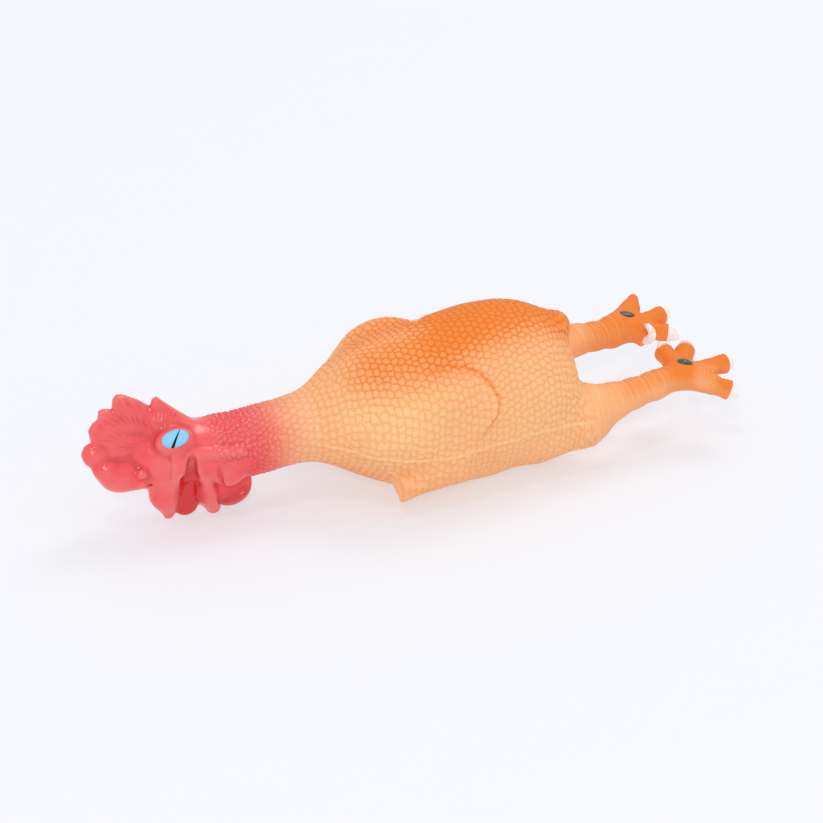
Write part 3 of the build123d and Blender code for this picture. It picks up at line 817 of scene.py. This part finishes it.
class Paint:
    """A Principled material that is built up node by node; its noise follows the rest places."""

    def __init__(self, name, on_rest=True, **constants):
        self.material = bpy.data.materials.new(name)
        self.material.use_nodes = True
        self.nodes = self.material.node_tree.nodes
        self.links = self.material.node_tree.links
        self.shader = self.nodes["Principled BSDF"]
        for socket, value in constants.items():
            self.shader.inputs[socket.replace("_", " ")].default_value = value
        if on_rest:
            self.place = self.field("rest")
        else:
            self.place = self.nodes.new("ShaderNodeTexCoord").outputs["Object"]

    def plug(self, value, socket):
        """Links or sets a socket; a colour is given as text."""
        if isinstance(value, bpy.types.NodeSocket):
            self.links.new(value, socket)
        else:
            socket.default_value = linear(value) if isinstance(value, str) else value

    def node(self, kind, output, inputs, **settings):
        """Adds a node, links or sets its inputs, and returns one of its outputs."""
        node = self.nodes.new("ShaderNode" + kind)
        for name, value in settings.items():
            setattr(node, name, value)
        for socket, value in inputs.items():
            self.plug(value, node.inputs[socket])
        return node.outputs[output]

    def field(self, name):
        return self.node("Attribute", "Vector" if name == "rest" else "Fac", {}, attribute_name=name)

    def math(self, operation, a, b):
        return self.node("Math", 0, {0: a, 1: b}, operation=operation)

    def times(self, a, b):
        return self.math("MULTIPLY", a, b)

    def plus(self, a, b):
        return self.math("ADD", a, b)

    def noise(self, scale, detail):
        return self.node("TexNoise", "Fac", {"Vector": self.place, "Scale": scale, "Detail": detail})

    def spread(self, value, low, high, to_low=0.0, to_high=1.0):
        limits = {"From Min": low, "From Max": high, "To Min": to_low, "To Max": to_high}
        return self.node("MapRange", "Result", {"Value": value, **limits})

    def clouds(self, scale, detail, *limits):
        """Noise whose range is spread over another."""
        return self.spread(self.noise(scale, detail), *limits)

    def mix(self, share, a, b):
        return self.node("Mix", 2, {"Factor": share, 6: a, 7: b}, data_type="RGBA")

    def bump(self, height, distance, strength):
        made = self.node("Bump", "Normal", {"Height": height, "Distance": distance, "Strength": strength})
        self.plug(made, self.shader.inputs["Normal"])

    def finished(self, colour, roughness):
        self.plug(colour, self.shader.inputs["Base Color"])
        self.plug(roughness, self.shader.inputs["Roughness"])
        return self.material

    def uneven(self, colour, scale, detail, low, high):
        """Finished with a roughness that varies over the surface."""
        return self.finished(colour, self.clouds(scale, detail, 0.3, 0.7, low, high))


# the paler peach and paler red serve both random patches and painted highlight; the deeper orange and
# deeper red are painted shade
PEACH, PEACH_PATCH_AND_HIGHLIGHT = "F9B47E", "FCC88D"
ORANGE, ORANGE_SHADE = "F3842C", "D05C18"
RED, RED_PATCH_AND_HIGHLIGHT, RED_SHADE = "F24248", "F67E76", "CE2A30"
MOUTH_RED = "D81A18"


def warm_colours(paint, patches, wander):
    """Peach with airbrushed orange; painted highlight makes the peach paler, and painted shade makes the
    creases and hollows more orange.
    """
    airbrush, crease_shade = paint.field("airbrush"), paint.field("crease_shade")
    # painted highlight, with random paler patches, makes the peach paler
    light = paint.plus(paint.field("painted_highlight"), paint.times(patches, 0.25))
    peach = paint.mix(light, PEACH, PEACH_PATCH_AND_HIGHLIGHT)
    cover = paint.times(airbrush, paint.plus(wander, 1.0))
    # painted shade: more orange in the creases
    crease_shade_cover = paint.times(crease_shade, paint.plus(paint.times(airbrush, 0.5), 0.27))
    cover = paint.math("MINIMUM", paint.plus(cover, crease_shade_cover), 1.0)
    warm = paint.mix(cover, peach, ORANGE)
    # painted shade: deeper orange in the airbrushed creases
    warm = paint.mix(paint.times(paint.times(crease_shade, airbrush), 0.45), warm, ORANGE_SHADE)
    # painted shade: more orange in the hollows
    return paint.mix(paint.times(paint.field("hollow_shade"), 0.4), warm, ORANGE)


def red_colours(paint, patches):
    """Red with painted shade, deeper in creases and hollows, and painted highlight, paler on ridges."""
    reds = paint.mix(paint.times(patches, 0.45), RED, RED_PATCH_AND_HIGHLIGHT)
    # painted shade: deeper red in the creases
    reds = paint.mix(paint.times(paint.field("crease_shade"), 0.55), reds, RED_SHADE)
    # painted highlight: paler red on the ridges
    reds = paint.mix(paint.times(paint.field("ridge_highlight"), 0.3), reds, RED_PATCH_AND_HIGHLIGHT)
    # painted shade: deeper red in the hollows
    reds = paint.mix(paint.times(paint.field("hollow_shade"), 0.6), reds, RED_SHADE)
    return paint.mix(paint.field("mouth"), reds, MOUTH_RED)


def skin_paint(name, shine):
    """Latex: peach, airbrushed orange and glossier red."""
    paint = Paint(name, Specular_IOR_Level=shine)
    patches = paint.clouds(0.055, 3.0, 0.35, 0.68)
    mist = paint.clouds(0.7, 4.0, 0.3, 0.7)
    wander = paint.times(paint.math("SUBTRACT", mist, 0.5), 0.22)
    red = paint.field("red")
    border = paint.times(paint.times(red, paint.math("SUBTRACT", 1.0, red)), wander)
    warm, reds = warm_colours(paint, patches, wander), red_colours(paint, patches)
    grain = paint.noise(2.2, 4.0)
    paint.bump(grain, 0.00012, 0.6)
    dull = paint.spread(grain, 0.3, 0.7, 0.42, 0.56)
    colour = paint.mix(paint.plus(red, border), warm, reds)
    return paint.finished(colour, paint.plus(dull, paint.times(red, -0.3)))


def wattle_paint():
    """Glossy red, deeper towards the bottom."""
    paint = Paint("glossy red latex", Specular_IOR_Level=0.55, Coat_Weight=0.3, Coat_Roughness=0.12)
    deep = paint.mix(paint.spread(paint.field("low"), 0.0, 1.0), "EA3238", "C81E24")
    colour = paint.mix(paint.clouds(0.16, 3.0, 0.35, 0.7, 0.0, 0.4), deep, "F05050")
    return paint.uneven(colour, 0.5, 2.0, 0.18, 0.26)


def eye_paint():
    """Pale blue with a narrow black slit."""
    paint = Paint("eye paint", Specular_IOR_Level=0.3)
    blue = paint.mix(paint.clouds(0.5, 3.0, 0.3, 0.7), "7CC8F4", "93D6F8")
    rim = paint.spread(paint.field("edge"), 0.86, 1.0, 0.0, 0.5)
    blue = paint.mix(rim, blue, "6AA6CC")
    colour = paint.mix(paint.spread(paint.field("slit"), -0.05, 0.05), blue, "04060A")
    return paint.uneven(colour, 2.0, 2.0, 0.28, 0.36)


def claw_paint():
    """White with a pink blush, and orange at the root."""
    paint = Paint("claw paint", Specular_IOR_Level=0.45)
    blush = paint.clouds(0.35, 3.0, 0.42, 0.7, 0.0, 0.55)
    white = paint.mix(blush, "FBF3EE", "F6CFC6")
    colour = paint.mix(paint.spread(paint.field("root"), 0.55, 1.0), white, "F3B492")
    paint.bump(paint.noise(1.8, 3.0), 0.00012, 0.5)
    return paint.uneven(colour, 1.6, 3.0, 0.32, 0.48)


def spot_paint():
    """Streaky dark olive with a greyer rim."""
    paint = Paint("olive paint", Specular_IOR_Level=0.5, Coat_Weight=0.3, Coat_Roughness=0.1)
    olive = paint.mix(paint.clouds(0.6, 3.0, 0.35, 0.65), "2E3E22", "54603F")
    colour = paint.mix(paint.spread(paint.field("edge"), 0.5, 0.95), olive, "39402E")
    return paint.uneven(colour, 2.4, 2.0, 0.2, 0.34)


def plastic_paint():
    """The squeaker's off-white moulded plastic."""
    paint = Paint("squeaker plastic", on_rest=False, Specular_IOR_Level=0.45)
    paint.bump(paint.noise(1500.0, 3.0), 0.00005, 0.5)
    colour = paint.mix(paint.clouds(90.0, 3.0, 0.35, 0.7), "F2F1EA", "E2E0D4")
    return paint.uneven(colour, 600.0, 3.0, 0.42, 0.58)


def reed_paint():
    """Slightly tarnished brass."""
    paint = Paint("brass", on_rest=False, Metallic=1.0)
    colour = paint.mix(paint.clouds(300.0, 4.0, 0.4, 0.7), "D6B26A", "A07F43")
    return paint.uneven(colour, 900.0, 2.0, 0.24, 0.4)


def floor_paint():
    """A light table: half of its brightness comes from inside it, so shadows on it are weak."""
    paint = Paint("paper", on_rest=False, Specular_IOR_Level=0.1, Emission_Strength=0.5)
    paint.plug("F5F6FA", paint.shader.inputs["Emission Color"])
    colour = paint.mix(paint.noise(40.0, 2.0), "B1B2B6", "B2B3B7")
    return paint.uneven(colour, 200.0, 2.0, 0.85, 0.95)


# ---------------- small parts
def unit(vector):
    return np.array(vector, float) / np.linalg.norm(vector)


def nearby_skin(points, faces, near):
    """A search tree of the skin's faces whose corners are all near."""
    chosen = faces[near[faces].all(axis=1)]
    return BVHTree.FromPolygons([Vector(p) for p in points], [tuple(f) for f in chosen.tolist()])


def skin_depths(tree, flat, outward, cells):
    """How far the skin stands above each point of a flat grid, smoothed."""
    reach = 9.0
    depths = np.zeros(len(flat))
    for i, point in enumerate(flat):
        hit = tree.ray_cast(Vector(point + reach * outward), Vector(-outward), 2 * reach)
        depths[i] = reach - hit[3] if hit[3] is not None else 0.0
    depths = depths.reshape(cells + 1, -1)
    for _ in range(6):
        padded = np.pad(depths, 1, "edge")
        depths = (padded[:-2, 1:-1] + padded[2:, 1:-1] + padded[1:-1, :-2] + padded[1:-1, 2:]) / 4
    return depths.ravel()


def slab_faces(cells):
    """Two square grids of points, one above the other, joined round their border."""
    count = (cells + 1) ** 2
    index = np.arange(count).reshape(cells + 1, cells + 1)
    corners = [index[:-1, :-1], index[1:, :-1], index[1:, 1:], index[:-1, 1:]]
    top = np.stack([corner.ravel() for corner in corners], axis=1)
    border = np.concatenate([index[0, :-1], index[:-1, -1], index[-1, :0:-1], index[:0:-1, 0]])
    onward = np.roll(border, -1)
    wall = np.stack([border, onward, onward + count, border + count], axis=1)
    return np.vstack([top, top[:, ::-1] + count, wall])


PATCH_LIFT, PATCH_DEPTH = 0.26, 0.9


def painted_patch(name, tree, centre, across, outward, size, material, marks=None, cells=56):
    """A low dome of paint, which follows the skin under it and sinks in at its rim.

    Its size is half its length, half its width and how far it rises; marks are more fields.
    """
    outward = unit(outward)
    across = unit(np.array(across) - np.dot(across, outward) * outward)
    up = np.cross(outward, across)
    side = np.linspace(-1, 1, cells + 1)
    a, b = (grid.ravel() for grid in np.meshgrid(side, side, indexing="ij"))
    disc_u, disc_v = a * np.sqrt(1 - b * b / 2), b * np.sqrt(1 - a * a / 2)
    edge = np.hypot(disc_u, disc_v)
    u, v = disc_u * size[0], disc_v * size[1]
    flat = np.array(centre) + np.outer(u, across) + np.outer(v, up)
    depths = skin_depths(tree, flat, outward, cells)
    top = flat + np.outer(depths + size[2] * (1 - edge**2.4) + PATCH_LIFT, outward)
    points = np.vstack([top, flat + np.outer(depths - PATCH_DEPTH, outward)])
    fields = {"edge": np.concatenate([edge, np.ones(len(top))])}
    for mark, value in (marks or {}).items():
        fields[mark] = np.concatenate([value(u, v), np.full(len(top), -1.0)])
    return mesh_object(name, points, slab_faces(cells), material, fields)


EYE_CENTRE, EYE_GAZE, EYE_ACROSS = (-105.6, 9.8, 43.6), (-0.12, 0.74, 0.66), (1, 0, 0.16)
EYE_SIZE = (5.6, 3.4, 0.55)
SLIT_TOP, SLIT_FOOT, SLIT_HALF_WIDTHS = (3.0, 2.9), (-2.3, -3.3), (0.16, 0.85)


def slit(sign):
    """How far inside the slit pupil a point of the eye is, in millimetres."""

    def inside(u, v):
        share = np.clip((SLIT_TOP[1] - sign * v) / (SLIT_TOP[1] - SLIT_FOOT[1]), -0.2, 1.2)
        middle = SLIT_TOP[0] + share * (SLIT_FOOT[0] - SLIT_TOP[0]) - 0.5 * share * (1 - share)
        half = SLIT_HALF_WIDTHS[0] + np.clip(share, 0, 1) * (SLIT_HALF_WIDTHS[1] - SLIT_HALF_WIDTHS[0])
        return half - np.abs(u - middle)

    return inside


# curl in degrees, length, lift of the root, and width; a claw bends down, or up where the curl is negative
CLAWS = {
    "left": [(-15, 2.6, 2.3, 0.95), (-15, 2.6, 2.3, 1.0), (50, 3.2, 0.3, 1.15), (45, 3.8, 0, 1.15)],
    "right": [(30, 2.0, 0, 0.45), (35, 3.6, 0.3, 1.15), (35, 5.0, 0.3, 1.2), (-215, 11.0, 0, 0.68)],
}
CLAW_ROOT_RADIUS, CLAW_TIP_RADIUS, CLAW_STEPS = 3.3, 1.0, 9
# how far a claw starts inside its toe, and how far behind the toe's end it is cut off
CLAW_DEPTH, CLAW_INSET = 1.6, 0.9
HOOKED_BEYOND = -90


def claw_path(root, direction, curl, length):
    """Points along a claw that curls in an upright plane."""
    sideways = unit(np.cross(direction, (0, 0, 1)))
    down = np.cross(direction, sideways)
    down = down if down[2] < 0 else -down
    path, heading = [np.array(root)], 0.0
    for _ in range(CLAW_STEPS):
        step = math.cos(heading) * direction + math.sin(heading) * down
        path.append(path[-1] + step * length / CLAW_STEPS)
        heading += math.radians(curl) / CLAW_STEPS
    return path


def behind(place, direction):
    """The half of a ball that lies behind a plane."""
    middle = place - 3 * direction

    def distance(x, y, z):
        apart = np.sqrt((x - middle[0]) ** 2 + (y - middle[1]) ** 2 + (z - middle[2]) ** 2)
        return np.maximum(past_plane(x, y, z, place, direction), apart - 9)

    return Form(distance, middle - 9, middle + 9)


def claws(side, material):
    """The painted claws of one foot."""
    low, high = node_box(f"{side}_foot")
    clay = Clay(low - 12, high + 12, 0.3)
    ends = []
    for toe, (curl, length, lift, slim) in zip(TOES[side], CLAWS[side]):
        _, end, direction = toe_line(side, toe)
        ends.append((end, direction))
        start = end - CLAW_DEPTH * direction + (0, 0, lift)
        path = claw_path(start, direction, curl, length + CLAW_DEPTH)
        wide = slim * CLAW_ROOT_RADIUS
        radii = [wide + (i / CLAW_STEPS) ** 1.3 * (CLAW_TIP_RADIUS - wide) for i in range(CLAW_STEPS + 1)]
        for form in chain(path, radii):
            clay.add(form, 0.6)
        if curl > HOOKED_BEYOND:
            clay.cut(behind(end - CLAW_INSET * direction, direction), 0.3)
    points, faces = clay.skin()
    past = [(points - end) @ direction for end, direction in ends]
    nearest = np.argmin([np.linalg.norm(points - end, axis=1) for end, _ in ends], axis=0)
    root = 1 - ramp(np.choose(nearest, past), -1.7, -0.5)
    normals = vertex_normals(points, faces)
    return mesh_object(f"{side}_claw_curls", points, faces, material, {"root": root}, normals)


WATTLE_FORMS = [
    (blob((-81.4, 0, 9.4), (8.2, 4.8, 7.2)), 2.0),
    (blob((-76.8, 0, 11.0), (4.4, 5.2, 6.4), turn=18), 1.6),
    (blob((-86.0, 0, 11.4), (4.6, 4.6, 6.4), turn=-16), 2.0),
    (blob((-81.0, 0, 17.5), (9.4, 4.8, 5.0)), 2.0),
]
WATTLE_FOLD = ((-85.0, 5.5, 7.6), (-74.5, 5.3, 12.0), 1.3, 1.6)
WATTLE_LOW, WATTLE_HIGH, WATTLE_FOOT = (-94, -8, -3), (-68, 8, 28), 0.3


def wattle(material):
    """The flap under the throat, folded on both sides and flat where it meets the ground."""
    clay = Clay(WATTLE_LOW, WATTLE_HIGH, 0.35)
    clay.add_all(WATTLE_FORMS)
    for sign in SIDES.values():
        clay.cut(side_bone(WATTLE_FOLD, sign), 1.2)
    ground = Form(lambda x, y, z: z - WATTLE_FOOT + 0 * x + 0 * y, WATTLE_LOW, (-68, 8, WATTLE_FOOT))
    clay.cut(ground, 1.2)
    points, faces = clay.skin()
    low = fall(points[:, 2], 4, 15)
    normals = vertex_normals(points, faces)
    return mesh_object("wattle_skin", points, faces, material, {"low": low}, normals)


# ---------------- pieces
NECK_EDGE, HEAD_EDGE, LEG_EDGE = -47.0, -66.0, 71.5
FOOT_EDGES = {"left": 93.0, "right": 93.5}
COMB_EDGE_X, COMB_OVERLAP = -98.0, 2.0
GROUND_GAP = 0.02
RED_SLOT, PEACH_SLOT, ORANGE_SLOT = "skin_red", "skin_peach", "skin_orange"


def displaced_skin():
    """The skin with its relief: points, faces, normals and paint fields."""
    points, faces = sculpt_skin()
    normals = vertex_normals(points, faces)
    # the hollows serve only for painted shade in hollows and painted highlight on ridges
    relief, fields = surface_fields(points, normals, hollows(points, faces, normals))
    points = points + normals * relief[:, None]
    points[:, 2] = np.maximum(points[:, 2], GROUND_GAP)
    return points, faces, vertex_normals(points, faces), fields


def comb_direction():
    """The way from the comb's hinge to its tips, square to the hinge."""
    axis = JOINTS["comb_flex"]["axis"]
    outward = unit((axis[2], 0, -axis[0]))
    return outward if outward[2] > 0 else -outward


def make_skin_pieces(skin):
    """Cuts the skin into pieces where the bodies meet, and hides the CAD nodes that each piece replaces.
    """
    body_paint, head_paint = skin_paint("latex skin", 0.25), skin_paint("glossy latex skin", 0.75)
    x, y, z = skin[0][skin[1]].mean(axis=1).T
    comb_out, hinge = comb_direction(), joint_centre("comb_flex")
    above = (x - hinge[0]) * comb_out[0] + (z - hinge[2]) * comb_out[2]
    is_comb = (above > -COMB_OVERLAP) & (x < COMB_EDGE_X)
    is_rear = x > LEG_EDGE
    is_trunk = (x >= NECK_EDGE) & ~is_rear
    is_upper = z > np.interp(x, *PARTING_LINE.T)

    def piece(name, chosen, slot, *nodes):
        made = cut_piece(name, chosen, skin, head_paint if slot == RED_SLOT else body_paint)
        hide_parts(*nodes)
        return made

    back = piece("back_skin", is_trunk & is_upper, ORANGE_SLOT, "back_panel", "tail")
    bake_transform(back)
    belly_nodes = ["torso_shell", "left_wing", "right_wing", "left_thigh", "right_thigh"]
    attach(piece("belly_skin", is_trunk & ~is_upper, PEACH_SLOT, *belly_nodes), "torso")
    is_neck = (x >= HEAD_EDGE) & (x < NECK_EDGE)
    neck = piece("neck_skin", is_neck, RED_SLOT, "neck_flexure", "neck_tube")
    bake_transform(neck)
    is_head = (x < HEAD_EDGE) & ~is_comb
    head = piece("head_skin", is_head, RED_SLOT, "head_flexure", "head_shell")
    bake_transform(head)
    comb_piece = piece("comb_skin", is_comb, RED_SLOT, "comb")
    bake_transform(comb_piece)

    for side in SIDES:
        own = is_rear & is_on(side, x, y)
        is_foot = own & (x > FOOT_EDGES[side])
        nodes = [f"{side}_hip_flexure", f"{side}_leg"]
        leg = piece(f"{side}_leg_skin", own & ~is_foot, ORANGE_SLOT, *nodes)
        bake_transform(leg)
        nodes = [f"{side}_ankle_flexure", f"{side}_foot"]
        foot = piece(f"{side}_foot_skin", is_foot, ORANGE_SLOT, *nodes)
        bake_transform(foot)


SPOT_SIZE, SPOT_ACROSS = (3.3, 2.1, 0.6), {"left": (1, -0.5, 0), "right": (1, -0.4, 0)}
SPOT_FROM_PALM = {"left": (1.0, -0.4, 5.0), "right": (-1.0, 1.0, 5.4)}
SPOT_OUTWARD = {"left": (-0.05, -0.42, 0.9), "right": (-0.05, -0.4, 0.9)}


def make_small_parts(points, faces):
    """Eyes, foot spots, claws and wattle, each riding on its body."""
    face = nearby_skin(points, faces, points[:, 0] < -90)
    toes = nearby_skin(points, faces, points[:, 0] > 95)
    eye_blue, olive, claw_white = eye_paint(), spot_paint(), claw_paint()
    rides = []
    for side, sign in SIDES.items():
        place, gaze = mirrored(EYE_CENTRE, sign), mirrored(EYE_GAZE, sign)
        pupil = {"slit": slit(-sign)}
        eye = painted_patch(f"{side}_eye_dome", face, place, EYE_ACROSS, gaze, EYE_SIZE, eye_blue, pupil)
        rides.append((eye, "head", f"{side}_eye", "eye_paint"))
    for side in SIDES:
        place, way = palm_centre(side) + SPOT_FROM_PALM[side], (SPOT_ACROSS[side], SPOT_OUTWARD[side])
        spot = painted_patch(f"{side}_spot_dome", toes, place, *way, SPOT_SIZE, olive, cells=40)
        rides.append((spot, f"{side}_foot", f"{side}_foot_spot", "spot_paint"))
        rides.append((claws(side, claw_white), f"{side}_foot", f"{side}_claws", "claw_paint"))
    rides.append((wattle(wattle_paint()), "head", "wattle", RED_SLOT))
    for made, body, node, slot in rides:
        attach(made, body)
        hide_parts(node)


def paint_squeaker():
    """The plastic insert keeps its CAD shape."""
    plastic, brass = plastic_paint(), reed_paint()
    for name in ("squeaker_cup", "squeaker_grille", "reed_tube", "reed"):
        node = frame["nodes"][name]
        node.data.materials.clear()
        node.data.materials.append(brass if name == "reed" else plastic)


# ---------------- studio
# in metres
CAMERA_PLACE, CAMERA_TARGET = (-0.2960, -0.7661, 0.5034), (-0.0012, 0.0020, 0.0284)
LENS, SENSOR = 99.9, 36.0
WORLD_COLOUR, WORLD_STRENGTH = (0.97, 0.98, 1.0, 1.0), 0.75
# place, target, diameter and watts
LAMPS = {
    "key": ((1.2, 0.6, 2.2), (0, 0, 0.03), 1.1, 12.5),
    "front": ((-1.0, -2.2, 1.8), (-0.02, 0, 0.03), 0.6, 17.5),
    "glint": ((-0.7, -0.7, 2.4), (-0.05, 0, 0.03), 0.12, 4.6),
}
FLOOR_HALF = 40.0


def place_and_aim(name, data, place, target):
    made = bpy.data.objects.new(name, data)
    bpy.context.scene.collection.objects.link(made)
    made.location = place
    direction = Vector(target) - made.location
    made.rotation_euler = direction.to_track_quat("-Z", "Y").to_euler()
    return made


def light_the_studio():
    scene = bpy.context.scene
    scene.view_settings.view_transform = "Standard"
    scene.view_settings.look = "None"
    scene.world = bpy.data.worlds.new("studio")
    scene.world.use_nodes = True
    background = scene.world.node_tree.nodes["Background"]
    background.inputs["Color"].default_value = WORLD_COLOUR
    background.inputs["Strength"].default_value = WORLD_STRENGTH
    for name, (place, target, size, power) in LAMPS.items():
        light = bpy.data.lights.new(name, "AREA")
        light.shape, light.size, light.energy = "DISK", size, power
        place_and_aim(name, light, place, target)


def lay_the_floor():
    corners = [(-1, -1, 0), (1, -1, 0), (1, 1, 0), (-1, 1, 0)]
    points = np.array(corners) * FLOOR_HALF / MM
    floor = mesh_object("floor", points, np.array([(0, 1, 2, 3)]), floor_paint())


def set_the_camera():
    lens = bpy.data.cameras.new("camera")
    lens.lens, lens.sensor_width = LENS, SENSOR
    camera = place_and_aim("camera", lens, CAMERA_PLACE, CAMERA_TARGET)
    bpy.context.scene.camera = camera


skin = displaced_skin()
make_skin_pieces(skin)
make_small_parts(skin[0], skin[1])
paint_squeaker()
light_the_studio()
lay_the_floor()
set_the_camera()
